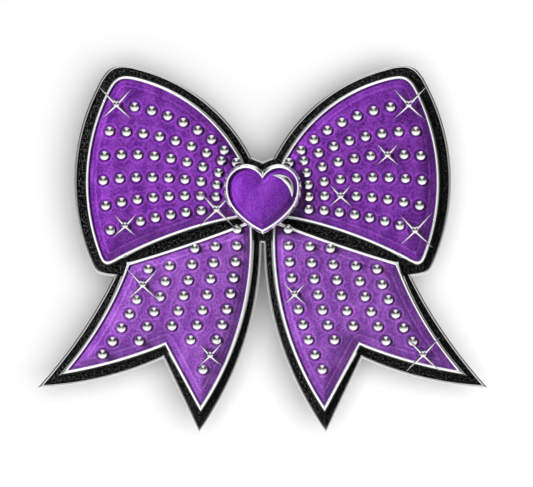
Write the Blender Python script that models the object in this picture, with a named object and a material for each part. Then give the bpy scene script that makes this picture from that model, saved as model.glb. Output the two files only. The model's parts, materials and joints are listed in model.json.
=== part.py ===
"""A cheer hair bow: two studded loops, two swallow-tailed tails, a heart at the knot and a barrette behind.

All sizes are in millimetres in the bow's own plan: x to the right, y up, z towards the viewer, with the
origin in the hair channel of the barrette. An empty turns the plan upright, so the front faces -Y.
"""

import math

import bmesh
import bpy
from mathutils import Vector
from mathutils.geometry import delaunay_2d_cdt, intersect_point_line

MM = 0.001
GAP = 0.3  # between pieces that touch
EDGE_GAP = 0.2  # between the outline that a rim stands round and what lies inside it

# Layers, from the hair outwards.
CLIP_BASE = (0.0, 0.8)
FELT = (CLIP_BASE[1] + GAP, 2.6)
PLATE_BACK = FELT[1] + GAP
PLATE_FLOOR = PLATE_BACK + 1.3
BORDER = (PLATE_FLOOR + GAP, PLATE_FLOOR + GAP + 0.8)
LIP_TOP = BORDER[1] + 0.5
LIP_WIDTH = 1.0
PANEL_BASE = BORDER[1] + GAP
RIM_WIDTH = 2.0
RIM_HEIGHT = 2.2
COVER_EDGE = PANEL_BASE + 0.9  # height of a panel's satin at its rim
COVER_TOP = PANEL_BASE + 2.5  # and on its flat middle
COVER_ROUND = 3.6  # width of the rounded border of a panel
COVER_THICKNESS = 0.5
STUD_BASE = COVER_TOP + GAP
STUD_RADIUS = 1.75
STUD_HEIGHT = 1.6
LINK_HEIGHT = 0.3
STEM_BASE = STUD_BASE + LINK_HEIGHT + GAP
STEM_RADIUS = 0.7
SPARKLE_BASE = STUD_BASE + STUD_HEIGHT + GAP  # the arms pass over the studs
SPARKLE_TOP = SPARKLE_BASE + 0.8
SPARKLE_ARM_WIDTH = 0.6
HEART_BASE = SPARKLE_TOP + GAP
BEZEL_WIDTH = 1.7
BEZEL_HEIGHT = 2.8
GEM_EDGE = HEART_BASE + 2.0
GEM_TOP = HEART_BASE + 4.0
GEM_ROUND = 4.6
CRESCENT_THICKNESS = 0.5

ARC_STEP = 5.5  # spacing of the points on a round stretch
CORNER_POINTS = 3

# Corners as (x, y, radius, bulge of the side that follows). A positive bulge leans into the shape.
HALF_SILHOUETTE = [
    (0.0, 15.3, 0, 0),
    (-4.6, 17.2, 0, -8.7),
    (-60.6, 54.9, 6.0, -11.7),
    (-66.8, -29.5, 3.2, 0),
    (-59.6, -30.6, 0, 1.9),
    (-90.3, -75.3, 0, -2.5),
    (-39.9, -63.4, 0, 0),
    (-25.5, -93.5, 0, -6.3),
    (-0.4, -17.0, 0, 0),
]
LOOP_PANEL = [
    (-9.0, 14.6, 0, -7.5),
    (-57.8, 49.0, 4.5, -9.1),
    (-62.8, -25.2, 2.4, 2.4),
    (-9.0, -5.6, 0, 0),
]
TAIL_PANEL = [
    (-5.4, -10.0, 0, 0.5),
    (-53.2, -26.3, 0, 2.1),
    (-77.6, -68.0, 0, -1.1),
    (-38.5, -56.6, 0, 0),
    (-24.8, -82.2, 0, -5.9),
]
HEART = [
    (0.0, 11.0, 0, -6.0),
    (-15.3, 4.8, 0, -0.9),
    (-11.9, -4.4, 0, -0.8),
    (0.0, -13.6, 0, -0.8),
    (11.9, -4.4, 0, -0.9),
    (15.3, 4.8, 0, -6.0),
]
CRESCENT_TIPS = ((3.9, 9.3), (11.4, 1.0))
CRESCENT_BULGES = (2.1, 4.8)  # of its inner and outer edge, away from the heart's middle

# Rows of studs on a loop, from the outer end in: first stud, point that pulls the curve, last stud, studs.
LOOP_ROWS = [
    ((-58.3, 38.1), (-29.0, 35.5), (-10.5, 15.0), 9),
    ((-61.2, 27.5), (-37.0, 27.5), (-16.4, 15.7), 8),
    ((-63.2, 17.7), (-39.5, 20.0), (-17.5, 10.9), 8),
    ((-63.7, 7.8), (-40.5, 11.0), (-18.2, 6.1), 8),
    ((-62.7, -2.2), (-40.5, 3.0), (-18.5, 1.3), 8),
    ((-60.8, -12.1), (-40.0, -5.0), (-18.4, -3.7), 8),
]
# Columns on a tail, from the top down.
TAIL_COLUMNS = [
    ((-10.2, -11.6), (-10.0, -41.5), (-23.8, -67.7), 10),
    ((-18.9, -18.5), (-20.5, -38.5), (-28.7, -55.9), 7),
    ((-27.1, -19.3), (-29.5, -35.5), (-36.2, -50.3), 6),
    ((-37.2, -26.3), (-41.0, -42.0), (-49.3, -56.3), 6),
    ((-45.7, -27.6), (-51.5, -46.5), (-64.0, -61.6), 7),
]
BIG, SMALL = 7.0, 4.9  # reach of a sparkle's arms along x and y
# Studs that are sparkles instead: panel, side, row, place in the row, reach.
SPARKLES = [
    ("loop", "left", 0, 0, BIG),
    ("loop", "left", 5, 1, SMALL),
    ("loop", "left", 5, 7, BIG),
    ("tail", "left", 4, 1, BIG),
    ("tail", "left", 0, 8, SMALL),
    ("loop", "right", 0, 0, BIG),
    ("loop", "right", 2, 2, SMALL),
    ("loop", "right", 4, 5, SMALL),
    ("loop", "right", 5, 0, BIG),
    ("tail", "right", 0, 4, SMALL),
    ("tail", "right", 4, 6, BIG),
]

# The barrette: a strip, a bowed clasp arm on a pin, a sprung tension bar and two squeeze ears.
CLIP_HALF_LENGTH = 38.5
CLIP_HALF_WIDTH = 4.0
PIN = (-36.5, -2.6)  # x and z of the hinge pin
PIN_RADIUS = 0.6
PIN_CLEARANCE = 0.15
KNUCKLE_RADIUS = 1.6
KNUCKLE_HALF_WIDTH = 2.3
LUG_THICKNESS = 0.9
ARM_END = (38.0, -4.4)
ARM_BOW = 7.4
ARM_THICKNESS = 0.8
ARM_HALF_WIDTH = 3.2
WINDOW = (30.6, 36.0, 2.3)  # x from, x to, half width of the hole in the arm's end
BAR_START = (-31.0, -0.6)
BAR_END = (27.0, -2.9)
BAR_BOW = 1.9
BAR_THICKNESS = 0.45
BAR_HALF_WIDTH = 2.4
EAR_X = (31.4, 35.2)
EAR_INNER, EAR_OUTER, EAR_BARB = 1.0, 1.6, 2.0
EAR_FOOT, EAR_TIP = -GAP, -8.2
EAR_PIVOT = -0.9

CHROME = ("chrome", (0.83, 0.84, 0.86), 0.12, 1.0)
POLISHED_PLATE = ("polished_plate", (0.80, 0.81, 0.83), 0.18, 1.0)
BLACK_BORDER = ("black_border", (0.018, 0.018, 0.019), 0.55, 0.0)
PURPLE_SATIN = ("purple_satin", (0.21, 0.05, 0.36), 0.38, 0.15)
HEART_PURPLE = ("heart_purple", (0.24, 0.045, 0.48), 0.25, 0.2)
FOAM = ("foam", (0.75, 0.75, 0.72), 0.95, 0.0)
FELT_BLACK = ("felt", (0.03, 0.03, 0.032), 0.95, 0.0)
KNOT_BLACK = ("knot_core", (0.02, 0.02, 0.022), 0.5, 0.0)
SPRING_STEEL = ("spring_steel", (0.62, 0.63, 0.65), 0.3, 1.0)


def clear_scene():
    for obj in list(bpy.data.objects):
        bpy.data.objects.remove(obj)


def new_collection(name, hidden):
    collection = bpy.data.collections.new(name)
    collection.hide_render = hidden
    bpy.context.scene.collection.children.link(collection)
    return collection


def new_frame():
    """The empty that stands the plan upright."""
    frame = bpy.data.objects.new("bow_frame", None)
    frame.rotation_euler = (math.radians(90), 0, 0)
    parts.objects.link(frame)
    return frame


def material_of(look):
    name, colour, roughness, metallic = look
    material = bpy.data.materials.get(name)
    if material is None:
        material = bpy.data.materials.new(name)
        material.use_nodes = True
        shader = material.node_tree.nodes["Principled BSDF"]
        shader.inputs["Base Color"].default_value = (*colour, 1)
        shader.inputs["Roughness"].default_value = roughness
        shader.inputs["Metallic"].default_value = metallic
    return material


def add_object(name, data, look, place=(0, 0, 0), turn=(0, 0, 0)):
    """A part in the bow's plan; place is in millimetres."""
    obj = bpy.data.objects.new(name, data)
    parts.objects.link(obj)
    obj.parent = frame
    obj.location = Vector(place) * MM
    obj.rotation_euler = turn
    data.materials.append(material_of(look))
    return obj


def mesh_from(name, bm):
    """A mesh of this bmesh, faces outwards, scaled from millimetres."""
    bmesh.ops.recalc_face_normals(bm, faces=bm.faces)
    bmesh.ops.scale(bm, vec=(MM, MM, MM), verts=bm.verts)
    mesh = bpy.data.meshes.new(name)
    bm.to_mesh(mesh)
    bm.free()
    return mesh


def smooth(obj):
    obj.data.shade_smooth()
    obj.data.set_sharp_from_angle(angle=math.radians(35))


# Outlines


def arc(start, end, bulge, pieces):
    """Points from start to end, both included, on an arc whose middle stands bulge to the left."""
    start, end = Vector(start), Vector(end)
    chord = end - start
    middle = (start + end) / 2
    if abs(bulge) < 1e-6:
        return [start.lerp(end, i / pieces) for i in range(pieces + 1)]
    left = Vector((-chord.y, chord.x)).normalized() * math.copysign(1, bulge)
    rise = abs(bulge)
    radius = (chord.length_squared / 4 + rise * rise) / (2 * rise)
    centre = middle + left * (rise - radius)
    half = math.atan2(chord.length / 2, radius - rise)
    along = chord.normalized()
    turns = (half * (2 * i / pieces - 1) for i in range(pieces + 1))
    return [centre + radius * (along * math.sin(t) + left * math.cos(t)) for t in turns]


def without_start(path, length):
    """The path without its first stretch of this length."""
    path = list(path)
    while length > 0 and (path[1] - path[0]).length <= length:
        length -= (path[1] - path[0]).length
        path.pop(0)
    if length > 0:
        path[0] = path[0] + (path[1] - path[0]).normalized() * length
    return path


def outline(corners, step=ARC_STEP):
    """A closed outline through these corners, with rounded corners and bulging sides."""
    following = corners[1:] + corners[:1]
    sides = []
    for (x, y, radius, bulge), (end_x, end_y, end_radius, _) in zip(corners, following):
        length = math.dist((x, y), (end_x, end_y))
        pieces = max(2, round(length / step)) if bulge else 1
        path = arc((x, y), (end_x, end_y), bulge, pieces)
        path = without_start(path, radius)
        sides.append(without_start(path[::-1], end_radius)[::-1])
    points = []
    for path, (x, y, radius, _), after in zip(sides, following, sides[1:] + sides[:1]):
        points += path if radius else path[:-1]
        if radius:
            start, corner, end = path[-1], Vector((x, y)), after[0]
            for i in range(1, CORNER_POINTS):
                t = i / CORNER_POINTS
                points.append(start.lerp(corner, t).lerp(corner.lerp(end, t), t))
    return points


def offset(points, distance):
    """The outline moved outwards by this distance, or inwards if it is negative."""
    moved = []
    for before, here, after in zip(points[-1:] + points[:-1], points, points[1:] + points[:1]):
        first, second = (here - before).normalized(), (after - here).normalized()
        normal = Vector((first.y + second.y, -first.x - second.x)).normalized()
        moved.append(here + normal * distance / (normal.x * second.y - normal.y * second.x))
    return moved


def mirrored(points):
    return [Vector((-p.x, p.y)) for p in reversed(points)]


def on_side(points, side):
    return points if side == "left" else mirrored(points)


def whole_silhouette():
    """The left half from the top notch round to the slit between the tails, and its mirror image."""
    corners = HALF_SILHOUETTE
    right = [(-x, y, radius) for x, y, radius, _ in reversed(corners[1:])]
    bulges = [bulge for *_, bulge in reversed(corners[:-1])]
    return outline(corners + [(*corner, bulge) for corner, bulge in zip(right, bulges)])


def distance_inside(point, points):
    """How far a point is inside an outline, or 0 outside."""
    inside, nearest = False, math.inf
    for a, b in zip(points, points[1:] + points[:1]):
        if (a.y > point.y) != (b.y > point.y):
            inside ^= point.x < a.x + (b.x - a.x) * (point.y - a.y) / (b.y - a.y)
        foot, share = intersect_point_line(point.to_3d(), a.to_3d(), b.to_3d())
        foot = a if share < 0 else b if share > 1 else foot.to_2d()
        nearest = min(nearest, (point - foot).length)
    return nearest if inside else 0


# Solids


def filled_curve(name, points, half_thickness):
    """A flat outline, extruded both ways from its plane."""
    curve = bpy.data.curves.new(name, "CURVE")
    curve.dimensions = "2D"
    curve.fill_mode = "BOTH"
    curve.extrude = half_thickness * MM
    spline = curve.splines.new("POLY")
    spline.points.add(len(points) - 1)
    for target, point in zip(spline.points, points):
        target.co = (point.x * MM, point.y * MM, 0, 1)
    spline.use_cyclic_u = True
    return curve


def plate(name, points, low, high, look):
    """A flat outline between two heights."""
    curve = filled_curve(name, points, (high - low) / 2)
    return add_object(name, curve, look, place=(0, 0, (low + high) / 2))


def loft(name, rings, look, closed=False):
    """A solid through rings of equally many points, each (outline, height), capped or joined end to end."""
    bm = bmesh.new()
    loops = [[bm.verts.new((*p, height)) for p in points] for points, height in rings]
    pairs = list(zip(loops, loops[1:]))
    if closed:
        pairs.append((loops[-1], loops[0]))
    for low, high in pairs:
        for i in range(len(low)):
            bm.faces.new((low[i - 1], low[i], high[i], high[i - 1]))
    if not closed:
        bm.faces.new(loops[0])
        bm.faces.new(loops[-1])
    obj = add_object(name, mesh_from(name, bm), look)
    smooth(obj)
    return obj


def bead(name, points, width, low, high, look):
    """A rounded frame that stands round an outline."""
    shoulder = high - 0.35 * (high - low)
    rings = [
        (offset(points, 0.1), low),
        (offset(points, 0.1), shoulder),
        (offset(points, 0.32 * width), high),
        (offset(points, 0.68 * width), high),
        (offset(points, width), shoulder),
        (offset(points, width), low),
    ]
    return loft(name, rings, look, closed=True)


def rounded(depth, edge, top, width):
    """Height of a padded surface this far inside its edge: a quarter round, then flat."""
    share = min(depth / width, 1)
    return edge + (top - edge) * math.sqrt(1 - (1 - share) ** 2)


def border_of(faces):
    """The edges that only one face has."""
    edges = {edge for face in faces for edge in zip(face[-1:] + face[:-1], face)}
    return [(i, j) for i, j in edges if (j, i) not in edges]


def padded(name, points, top_at, bottom_at, grid, rings, look):
    """A solid between two heights that depend on the distance inside the outline."""
    flat = list(points)
    for inset in rings:
        flat += [p for p in offset(points, -inset)[::2] if distance_inside(p, points) > 0.9 * inset]
    xs, ys = [p.x for p in points], [p.y for p in points]
    for row in range(int(min(ys) // grid), int(max(ys) // grid) + 1):
        for column in range(int(min(xs) // grid), int(max(xs) // grid) + 1):
            point = Vector(((column + row % 2 / 2) * grid, row * grid))
            if distance_inside(point, points) > rings[-1] + 0.6 * grid:
                flat.append(point)
    flat, _, faces, *_ = delaunay_2d_cdt(flat, [], [list(range(len(points)))], 1, 1e-4)
    bm = bmesh.new()
    border = border_of(faces)
    on_border = {i for edge in border for i in edge}
    depths = [0 if i in on_border else distance_inside(p, points) for i, p in enumerate(flat)]
    tops = [bm.verts.new((*p, top_at(d))) for p, d in zip(flat, depths)]
    bottoms = [bm.verts.new((*p, bottom_at(d))) for p, d in zip(flat, depths)]
    for face in faces:
        bm.faces.new([tops[i] for i in face])
        bm.faces.new([bottoms[i] for i in reversed(face)])
    for i, j in border:
        bm.faces.new((tops[i], tops[j], bottoms[j], bottoms[i]))
    bmesh.ops.delete(bm, geom=[v for v in bm.verts if not v.link_faces], context="VERTS")
    obj = add_object(name, mesh_from(name, bm), look)
    smooth(obj)
    return obj


def box(name, low, high, look, bevel=0.0):
    bm = bmesh.new()
    bmesh.ops.create_cube(bm, size=1)
    size = [b - a for a, b in zip(low, high)]
    bmesh.ops.scale(bm, vec=size, verts=bm.verts)
    bmesh.ops.translate(bm, vec=[(a + b) / 2 for a, b in zip(low, high)], verts=bm.verts)
    if bevel:
        bmesh.ops.bevel(bm, geom=bm.edges[:], offset=bevel, segments=1, affect="EDGES")
    return add_object(name, mesh_from(name, bm), look)


def rod_along_y(name, radius, half_length, look, sides=16):
    """A round bar at the origin, along y."""
    bm = bmesh.new()
    bmesh.ops.create_cone(
        bm, cap_ends=True, segments=sides, radius1=radius, radius2=radius, depth=2 * half_length
    )
    obj = add_object(name, mesh_from(name, bm), look, turn=(math.radians(90), 0, 0))
    smooth(obj)
    return obj


def combine(obj, other, operation):
    """Joins other to obj, or cuts it away, and keeps other as a hidden helper."""
    parts.objects.unlink(other)
    cutters.objects.link(other)
    other.hide_render = True
    other.display_type = "WIRE"
    modifier = obj.modifiers.new(operation.lower(), "BOOLEAN")
    modifier.operation = operation
    modifier.object = other
    return obj


# Sub-parts


def make_backing():
    silhouette = whole_silhouette()
    inner = offset(silhouette, -LIP_WIDTH)
    loft(
        "backing_plate",
        [
            (silhouette, PLATE_BACK),
            (silhouette, LIP_TOP - 0.3),
            (offset(silhouette, -0.25), LIP_TOP),
            (offset(silhouette, -LIP_WIDTH + 0.15), LIP_TOP),
            (inner, PLATE_FLOOR),
        ],
        POLISHED_PLATE,
    )
    plate("border_sheet", offset(silhouette, -LIP_WIDTH - GAP), *BORDER, BLACK_BORDER)


def make_panel(kind, corners, side):
    """A rim, a foam pad and the satin over it."""
    points = on_side(outline(corners), side)
    bead(f"{kind}_rim_{side}", points, RIM_WIDTH, PANEL_BASE, PANEL_BASE + RIM_HEIGHT, CHROME)
    inner = offset(points, -EDGE_GAP)

    def satin(depth):
        return rounded(depth, COVER_EDGE, COVER_TOP, COVER_ROUND)

    rings = (0.35 * COVER_ROUND, COVER_ROUND)
    padded(
        f"{kind}_cover_{side}", inner, satin, lambda d: satin(d) - COVER_THICKNESS, 12, rings, PURPLE_SATIN
    )
    padded(
        f"{kind}_pad_{side}",
        inner,
        lambda d: satin(d) - COVER_THICKNESS - GAP,
        lambda d: PANEL_BASE,
        12,
        rings,
        FOAM,
    )


def row_places(row, side):
    """The studs' places, evenly along a curve of one bend."""
    start, pull, end = (Vector(point) for point in row[:3])
    studs = row[3]
    sign = 1 if side == "left" else -1
    places = []
    for i in range(studs):
        t = i / (studs - 1)
        place = start.lerp(pull, t).lerp(pull.lerp(end, t), t)
        places.append(Vector((sign * place.x, place.y)))
    return places


def add_stud(bm, place):
    """A low dome of six sides."""
    levels = ((1.0, 0.0), (0.8, 0.62))
    sides = 6
    rings = []
    for share, height in levels:
        turns = (2 * math.pi * i / sides for i in range(sides))
        radius = share * STUD_RADIUS
        rings.append(
            [
                bm.verts.new(
                    (
                        place.x + radius * math.cos(t),
                        place.y + radius * math.sin(t),
                        STUD_BASE + height * STUD_HEIGHT,
                    )
                )
                for t in turns
            ]
        )
    apex = bm.verts.new((place.x, place.y, STUD_BASE + STUD_HEIGHT))
    bm.faces.new(rings[0])
    for i in range(sides):
        bm.faces.new((rings[0][i - 1], rings[0][i], rings[1][i], rings[1][i - 1]))
        bm.faces.new((rings[1][i - 1], rings[1][i], apex))


def make_stud_row(name, places):
    """The studs of one row, threaded on a hair-thin link that makes them one piece."""
    bm = bmesh.new()
    corners = ((-0.3, 0.05), (0.3, 0.05), (0, LINK_HEIGHT))
    rings = []
    for i, place in enumerate(places):
        before, after = places[max(i - 1, 0)], places[min(i + 1, len(places) - 1)]
        direction = (after - before).normalized()
        across = Vector((-direction.y, direction.x))
        rings.append([bm.verts.new((*(place + u * across), STUD_BASE + v)) for u, v in corners])
    for first, second in zip(rings, rings[1:]):
        for i in range(3):
            bm.faces.new((first[i - 1], first[i], second[i], second[i - 1]))
    bm.faces.new(rings[0])
    bm.faces.new(rings[-1])
    link = add_object(name, mesh_from(name, bm), CHROME)
    domes = bmesh.new()
    for place in places:
        add_stud(domes, place)
    studs = add_object(f"{name}_domes", mesh_from(f"{name}_domes", domes), CHROME)
    return combine(link, studs, "UNION")


def make_sparkle(name, place, reach):
    """A four-pointed star with thin diagonal arms, on a short stem."""
    waist = 0.16 * reach
    points = []
    for quarter in range(4):
        turn = math.radians(45 + 90 * quarter)
        arm = Vector((math.cos(turn), math.sin(turn)))
        side = Vector((math.cos(turn + math.radians(45)), math.sin(turn + math.radians(45))))
        across = Vector((arm.y, -arm.x)) * SPARKLE_ARM_WIDTH / 2
        root = place + arm * 0.35 * reach
        tip = place + arm * reach * math.sqrt(2)
        points += [root + across, tip + across * 0.4, tip - across * 0.4, root - across, place + side * waist]
    shoulder = [p.lerp(place, 0.12) for p in points]
    stem = [place + (p - place).normalized() * STEM_RADIUS for p in points]
    rings = [
        (stem, STEM_BASE),
        (stem, SPARKLE_BASE - 0.1),
        (points, SPARKLE_BASE),
        (points, SPARKLE_BASE + 0.3),
        (shoulder, SPARKLE_TOP),
    ]
    return loft(name, rings, CHROME)


def make_studs():
    """Every row of each panel. A sparkle takes a stud's place and stands over the row's link."""
    for kind, rows in (("loop", LOOP_ROWS), ("tail", TAIL_COLUMNS)):
        for side in ("left", "right"):
            for number, row in enumerate(rows):
                places = row_places(row, side)
                stars = {
                    index: reach
                    for star_kind, star_side, star_row, index, reach in SPARKLES
                    if (star_kind, star_side, star_row) == (kind, side, number)
                }
                studs = [place for index, place in enumerate(places) if index not in stars]
                make_stud_row(f"{kind}_studs_{side}_{number + 1}", studs)
                for index, reach in stars.items():
                    make_sparkle(f"sparkle_{kind}_{side}_{number + 1}_{index + 1}", places[index], reach)


def make_heart():
    points = outline(HEART, step=2.8)
    inner = offset(points, -BEZEL_WIDTH)
    bead("heart_bezel", inner, BEZEL_WIDTH, HEART_BASE, HEART_BASE + BEZEL_HEIGHT, CHROME)
    stone = offset(inner, -EDGE_GAP)

    def dome(depth):
        return rounded(depth, GEM_EDGE, GEM_TOP, GEM_ROUND)

    padded(
        "heart_gem", stone, dome, lambda d: HEART_BASE, 4, (0.3 * GEM_ROUND, 0.7 * GEM_ROUND), HEART_PURPLE
    )
    make_crescent(stone, dome)
    box("knot_core", (-6.2, -4.9, PANEL_BASE), (6.2, 12.0, HEART_BASE - GAP), KNOT_BLACK, bevel=0.6)


def make_crescent(stone, dome):
    """A thin crescent that lies on the gem's shoulder."""
    pieces = 10
    inner, outer = (arc(*CRESCENT_TIPS, bulge, pieces) for bulge in CRESCENT_BULGES)
    bm = bmesh.new()
    surfaces = []
    for level in (GAP, GAP + CRESCENT_THICKNESS):
        edges = [
            [bm.verts.new((*p, dome(distance_inside(p, stone)) + level)) for p in edge]
            for edge in (inner, outer[1:-1])
        ]
        surfaces.append((edges[0], [edges[0][0], *edges[1], edges[0][-1]]))
    for near, far in surfaces:
        for i in range(pieces):
            bm.faces.new(dict.fromkeys((near[i], near[i + 1], far[i + 1], far[i])))
    for low, high in zip(*surfaces):
        for i in range(pieces):
            bm.faces.new((low[i], low[i + 1], high[i + 1], high[i]))
    smooth(add_object("heart_crescent", mesh_from("heart_crescent", bm), CHROME))


def bowed_strip(name, start, end, bow, thickness, half_width, look):
    """A bowed strip, given by its side view in x and z, as wide as twice half_width along y."""
    behind = arc(start, end, -bow, 14)
    before = [p + Vector((0, thickness)) for p in reversed(behind)]
    curve = filled_curve(name, behind + before, half_width)
    return add_object(name, curve, look, turn=(math.radians(90), 0, 0))


def as_mesh(obj):
    """The same object as a welded mesh, which a Boolean can take."""
    bpy.context.view_layer.update()
    graph = bpy.context.evaluated_depsgraph_get()
    mesh = bpy.data.meshes.new_from_object(obj.evaluated_get(graph))
    bm = bmesh.new()
    bm.from_mesh(mesh)
    bmesh.ops.remove_doubles(bm, verts=bm.verts, dist=1e-6)
    bmesh.ops.recalc_face_normals(bm, faces=bm.faces)
    bm.to_mesh(mesh)
    bm.free()
    name = obj.name
    placed = obj.matrix_world.copy()
    bpy.data.objects.remove(obj)
    solid = bpy.data.objects.new(name, mesh)
    parts.objects.link(solid)
    solid.parent = frame
    solid.matrix_parent_inverse = frame.matrix_world.inverted()
    solid.matrix_world = placed
    return solid


def make_clip_base():
    base = box(
        "clip_base",
        (-CLIP_HALF_LENGTH, -CLIP_HALF_WIDTH, CLIP_BASE[0]),
        (CLIP_HALF_LENGTH, CLIP_HALF_WIDTH, CLIP_BASE[1]),
        SPRING_STEEL,
    )
    lug_inside = KNUCKLE_HALF_WIDTH + GAP
    for sign, name in ((1, "lug_upper"), (-1, "lug_lower")):
        ys = sorted((sign * lug_inside, sign * (lug_inside + LUG_THICKNESS)))
        low = (PIN[0] - 1.7, ys[0], PIN[1] - 1.6)
        lug = box(name, low, (PIN[0] + 1.7, ys[1], CLIP_BASE[0] + 0.4), SPRING_STEEL)
        combine(base, lug, "UNION")
    hole = rod_along_y("base_pin_hole", PIN_RADIUS + PIN_CLEARANCE, 6, SPRING_STEEL)
    hole.location = Vector((PIN[0], 0, PIN[1])) * MM
    combine(base, hole, "DIFFERENCE")
    pin = rod_along_y("hinge_pin", PIN_RADIUS, lug_inside + LUG_THICKNESS + 0.4, SPRING_STEEL)
    pin.location = Vector((PIN[0], 0, PIN[1])) * MM


def make_clasp_arm():
    arm = bowed_strip(
        "clasp_arm",
        (PIN[0] + 0.8, PIN[1] - 1.4),
        ARM_END,
        ARM_BOW,
        ARM_THICKNESS,
        ARM_HALF_WIDTH,
        SPRING_STEEL,
    )
    arm = as_mesh(arm)
    knuckle = rod_along_y("arm_knuckle", KNUCKLE_RADIUS, KNUCKLE_HALF_WIDTH, SPRING_STEEL, sides=18)
    knuckle.location = Vector((PIN[0], 0, PIN[1])) * MM
    for slot in lug_slots():
        combine(arm, slot, "DIFFERENCE")
    combine(arm, knuckle, "UNION")
    hole = rod_along_y("arm_pin_hole", PIN_RADIUS + PIN_CLEARANCE, 6, SPRING_STEEL)
    hole.location = Vector((PIN[0], 0, PIN[1])) * MM
    combine(arm, hole, "DIFFERENCE")
    x_low, x_high, half = WINDOW
    window = box("arm_window", (x_low, -half, -14), (x_high, half, 0), SPRING_STEEL)
    combine(arm, window, "DIFFERENCE")


def lug_slots():
    """The room that the arm leaves for the lugs beside its knuckle."""
    for sign, name in ((1, "slot_upper"), (-1, "slot_lower")):
        ys = sorted((sign * KNUCKLE_HALF_WIDTH, sign * 6))
        yield box(name, (PIN[0] - 5, ys[0], -9), (PIN[0] + 5.2, ys[1], 2), SPRING_STEEL)


def make_tension_bar():
    bowed_strip("tension_bar", BAR_START, BAR_END, BAR_BOW, BAR_THICKNESS, BAR_HALF_WIDTH, SPRING_STEEL)


def make_ear(name, sign):
    """One of the two sprung ears that pass through the arm's window; its barb stands over the arm."""
    barb_root = EAR_TIP + 1.8
    profile = [
        (EAR_INNER, EAR_FOOT),
        (EAR_OUTER, EAR_FOOT),
        (EAR_OUTER, barb_root),
        (EAR_BARB, barb_root - 0.2),
        (EAR_BARB - 0.4, EAR_TIP),
        (EAR_INNER, EAR_TIP),
    ]
    bm = bmesh.new()
    ends = [[bm.verts.new((x, sign * y, z)) for y, z in profile] for x in EAR_X]
    for i in range(len(profile)):
        bm.faces.new((ends[0][i - 1], ends[0][i], ends[1][i], ends[1][i - 1]))
    bm.faces.new(ends[0])
    bm.faces.new(ends[1])
    add_object(name, mesh_from(name, bm), SPRING_STEEL)


def make_barrette():
    box("felt_pad", (-34, -7, FELT[0]), (34, 7, FELT[1]), FELT_BLACK, bevel=0.4)
    make_clip_base()
    make_clasp_arm()
    make_tension_bar()
    make_ear("catch_ear_upper", 1)
    make_ear("catch_ear_lower", -1)


clear_scene()
parts = new_collection("cheer_hair_bow", hidden=False)
cutters = new_collection("helpers", hidden=True)
frame = new_frame()
make_backing()
for panel_side in ("left", "right"):
    make_panel("loop", LOOP_PANEL, panel_side)
    make_panel("tail", TAIL_PANEL, panel_side)
make_studs()
make_heart()
make_barrette()
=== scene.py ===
"""Looks of the cheer hair bow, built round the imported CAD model.

Lengths are in metres in the model's frame: the front faces -Y and +Z is up. Outlines are read from the CAD
meshes, then made finer and rounder here.
"""

import json
import math

import bmesh
import bpy
import numpy as np
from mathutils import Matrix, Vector
from mathutils.geometry import delaunay_2d_cdt

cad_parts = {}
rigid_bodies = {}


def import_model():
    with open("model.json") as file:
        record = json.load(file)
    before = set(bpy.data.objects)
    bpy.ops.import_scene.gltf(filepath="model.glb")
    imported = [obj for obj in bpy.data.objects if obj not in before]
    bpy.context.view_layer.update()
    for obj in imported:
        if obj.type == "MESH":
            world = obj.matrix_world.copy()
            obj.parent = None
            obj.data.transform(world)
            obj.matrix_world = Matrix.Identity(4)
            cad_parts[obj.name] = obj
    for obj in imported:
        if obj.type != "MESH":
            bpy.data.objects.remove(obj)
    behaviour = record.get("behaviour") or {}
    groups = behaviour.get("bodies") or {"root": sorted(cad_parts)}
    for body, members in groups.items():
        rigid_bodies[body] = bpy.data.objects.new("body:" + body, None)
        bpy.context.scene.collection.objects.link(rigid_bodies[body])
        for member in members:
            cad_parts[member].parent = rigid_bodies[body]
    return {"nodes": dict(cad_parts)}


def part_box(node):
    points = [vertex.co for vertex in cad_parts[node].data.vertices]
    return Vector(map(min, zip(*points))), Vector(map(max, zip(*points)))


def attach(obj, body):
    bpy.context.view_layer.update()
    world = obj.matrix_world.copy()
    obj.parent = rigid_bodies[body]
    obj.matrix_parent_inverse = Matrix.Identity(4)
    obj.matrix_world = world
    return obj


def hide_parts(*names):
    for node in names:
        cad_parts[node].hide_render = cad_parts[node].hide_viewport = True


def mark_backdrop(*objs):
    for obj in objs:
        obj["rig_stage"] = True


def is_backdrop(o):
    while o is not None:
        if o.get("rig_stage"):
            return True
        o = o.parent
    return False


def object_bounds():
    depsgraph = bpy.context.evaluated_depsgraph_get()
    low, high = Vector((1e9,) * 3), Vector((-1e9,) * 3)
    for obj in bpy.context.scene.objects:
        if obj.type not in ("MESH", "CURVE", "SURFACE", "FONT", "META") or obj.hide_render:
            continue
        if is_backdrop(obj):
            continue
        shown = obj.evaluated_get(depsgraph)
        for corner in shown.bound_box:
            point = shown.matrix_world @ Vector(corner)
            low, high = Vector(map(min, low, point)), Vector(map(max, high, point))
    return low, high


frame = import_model()
cad_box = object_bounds()

MM = 0.001
WELD = 1e-6  # points nearer than this are one point
SIDES = ("left", "right")
CORNER = math.radians(38)  # a sharper turn than this is a real corner of an outline
BODY = "bow"  # every piece made here rides on it

# Spacing of the points along the finer outlines
PLATE_STEP = 0.8 * MM
PANEL_STEP = 0.7 * MM


# Reading the frame


def mesh_of(node):
    """The node's points, welded, and its triangles."""
    mesh = frame["nodes"][node].data
    mesh.calc_loop_triangles()
    points = np.array([v.co for v in mesh.vertices])
    faces = np.array([t.vertices for t in mesh.loop_triangles])
    _, first, index = np.unique(np.round(points / WELD), axis=0, return_index=True, return_inverse=True)
    return points[first], index.reshape(-1)[faces]


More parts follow.
